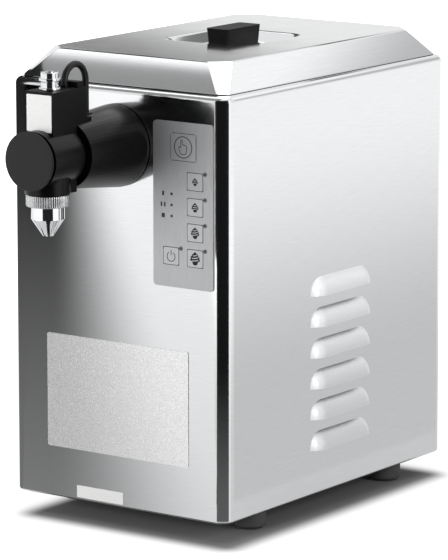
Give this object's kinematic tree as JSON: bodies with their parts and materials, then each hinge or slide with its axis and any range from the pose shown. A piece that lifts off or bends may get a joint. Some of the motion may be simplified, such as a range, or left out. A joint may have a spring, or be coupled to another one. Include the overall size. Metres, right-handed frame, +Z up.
{
  "type": "cream whipper machine",
  "caption": "Counter-top refrigerated cream whipper with a steel casing, lift-off lid, tank and pump inside, and a front arm with a solenoid valve and star nozzle.",
  "frame": {"origin": "on the table under the middle of the whole machine, arm and rear panel included", "axes": "+Z up, -Y to the front where the dispensing arm is, +X to the right seen from the front, the side of the keypad"},
  "size_m": [0.26, 0.4972, 0.4444],
  "materials": {
    "stainless": "brushed stainless sheet",
    "steel_inside": "plain stainless or zinc-plated steel",
    "rubber_black": "moulded black rubber",
    "rubber_foot": "moulded black rubber with a steel stud",
    "plastic_black": "moulded black plastic",
    "arm_black": "black food-grade plastic, half gloss",
    "cap_grey": "dark grey matt plastic",
    "coil_black": "moulded coil plastic",
    "label_white": "bare printed-film label",
    "chrome": "polished plated steel",
    "satin_steel": "satin machined steel",
    "pad_grey": "grey polyester foil",
    "key_grey": "darker grey printed field",
    "light_dark": "unlit lamp lens",
    "badge_film": "grainy bright foil, bare",
    "white_plastic": "white food-grade plastic",
    "foam": "insulating foam",
    "alu": "rolled or cast aluminium",
    "circuit": "circuit board",
    "motor_paint": "dark painted motor shell",
    "compressor_paint": "black painted pot",
    "copper": "copper pipe"
  },
  "bodies": {
    "machine": {"casing": "stainless", "base_plate": "steel_inside", "feet": "rubber_foot", "rear_panel": "stainless", "rear_panel_screws": "satin_steel", "power_inlet": "plastic_black", "deck_tray": "stainless", "well_liner": "steel_inside", "cream_tank": "stainless", "evaporator": "alu", "insulation": "foam", "arm_housing": "arm_black", "arm_gasket": "rubber_black", "arm_bolts": "satin_steel", "whip_core": "white_plastic", "core_tube": "satin_steel", "solenoid_coil": "coil_black", "coil_connector": "coil_black", "coil_label": "label_white", "core_nut": "chrome", "return_spring": "satin_steel", "coil_lead": "rubber_black", "lead_grommet": "rubber_black", "keypad": "pad_grey", "status_lights": "light_dark", "badge_plate": "badge_film", "sticker_plate": "label_white", "control_board": "circuit", "pump_housing": "alu", "pump_cover": "alu", "drive_belt": "rubber_black", "drive_motor": "motor_paint", "motor_bracket": "steel_inside", "suction_tube": "satin_steel", "compressor": "compressor_paint", "condenser": "alu", "fan_motor": "motor_paint", "fan_bracket": "steel_inside", "refrigerant_lines": "copper"},
    "lid": {"lid": "stainless", "lid_gasket": "rubber_black", "lid_handle": "plastic_black", "lid_handle_screws": "satin_steel"},
    "key_manual": {"key_manual": "key_grey"},
    "key_portion_1": {"key_portion_1": "key_grey"},
    "key_portion_2": {"key_portion_2": "key_grey"},
    "key_portion_3": {"key_portion_3": "key_grey"},
    "key_portion_4": {"key_portion_4": "key_grey"},
    "key_power": {"key_power": "key_grey"},
    "valve": {"armature": "satin_steel", "valve_pad": "rubber_black"},
    "end_cap": {"end_cap": "cap_grey", "end_cap_seal": "rubber_black"},
    "nozzle": {"star_nozzle": "chrome", "nozzle_seal": "rubber_black"},
    "ring": {"nozzle_ring": "satin_steel"},
    "pump_shaft": {"pump_rotor": "white_plastic", "pump_pulley": "alu"},
    "motor_shaft": {"motor_pulley": "satin_steel"},
    "fan": {"fan_blade": "plastic_black"}
  },
  "joints": [
    {"name": "lid_lift", "type": "slide", "parent": "machine", "child": "lid", "axis": [0, 0, 1], "range_m": [0, 0.25]},
    {"name": "key_manual_press", "type": "slide", "parent": "machine", "child": "key_manual", "axis": [0, 1, 0], "range_m": [0, 0.0005], "stiffness_N_per_m": 3000},
    {"name": "key_portion_1_press", "type": "slide", "parent": "machine", "child": "key_portion_1", "axis": [0, 1, 0], "range_m": [0, 0.0005], "stiffness_N_per_m": 3000},
    {"name": "key_portion_2_press", "type": "slide", "parent": "machine", "child": "key_portion_2", "axis": [0, 1, 0], "range_m": [0, 0.0005], "stiffness_N_per_m": 3000},
    {"name": "key_portion_3_press", "type": "slide", "parent": "machine", "child": "key_portion_3", "axis": [0, 1, 0], "range_m": [0, 0.0005], "stiffness_N_per_m": 3000},
    {"name": "key_portion_4_press", "type": "slide", "parent": "machine", "child": "key_portion_4", "axis": [0, 1, 0], "range_m": [0, 0.0005], "stiffness_N_per_m": 3000},
    {"name": "key_power_press", "type": "slide", "parent": "machine", "child": "key_power", "axis": [0, 1, 0], "range_m": [0, 0.0005], "stiffness_N_per_m": 3000},
    {"name": "valve_lift", "type": "slide", "parent": "machine", "child": "valve", "axis": [0, 0, 1], "range_m": [0, 0.005], "stiffness_N_per_m": 400, "springref_m": -0.004, "deforming": ["return_spring"]},
    {"name": "end_cap_pull", "type": "slide", "parent": "machine", "child": "end_cap", "axis": [0, -1, 0], "range_m": [0, 0.03]},
    {"name": "nozzle_drop", "type": "slide", "parent": "machine", "child": "nozzle", "axis": [0, 0, -1], "range_m": [0, 0.008]},
    {"name": "ring_turn", "type": "hinge", "parent": "nozzle", "child": "ring", "pos_m": [0, -0.2218, 0.3135], "axis": [0, 0, -1], "range_deg": [0, 1440]},
    {"name": "pump_spin", "type": "hinge", "parent": "machine", "child": "pump_shaft", "pos_m": [0, -0.0764, 0.3563], "axis": [0, 1, 0], "continuous": true},
    {"name": "motor_spin", "type": "hinge", "parent": "machine", "child": "motor_shaft", "pos_m": [0, -0.0764, 0.1713], "axis": [0, 1, 0], "continuous": true},
    {"name": "fan_spin", "type": "hinge", "parent": "machine", "child": "fan", "pos_m": [0.0635, 0.0634, 0.1205], "axis": [1, 0, 0], "continuous": true}
  ],
  "couplings": [
    {"joint": "nozzle_drop", "follows": "ring_turn", "m_per_rad": 0.00031831},
    {"joint": "pump_spin", "follows": "motor_spin", "ratio": 0.5}
  ]
}
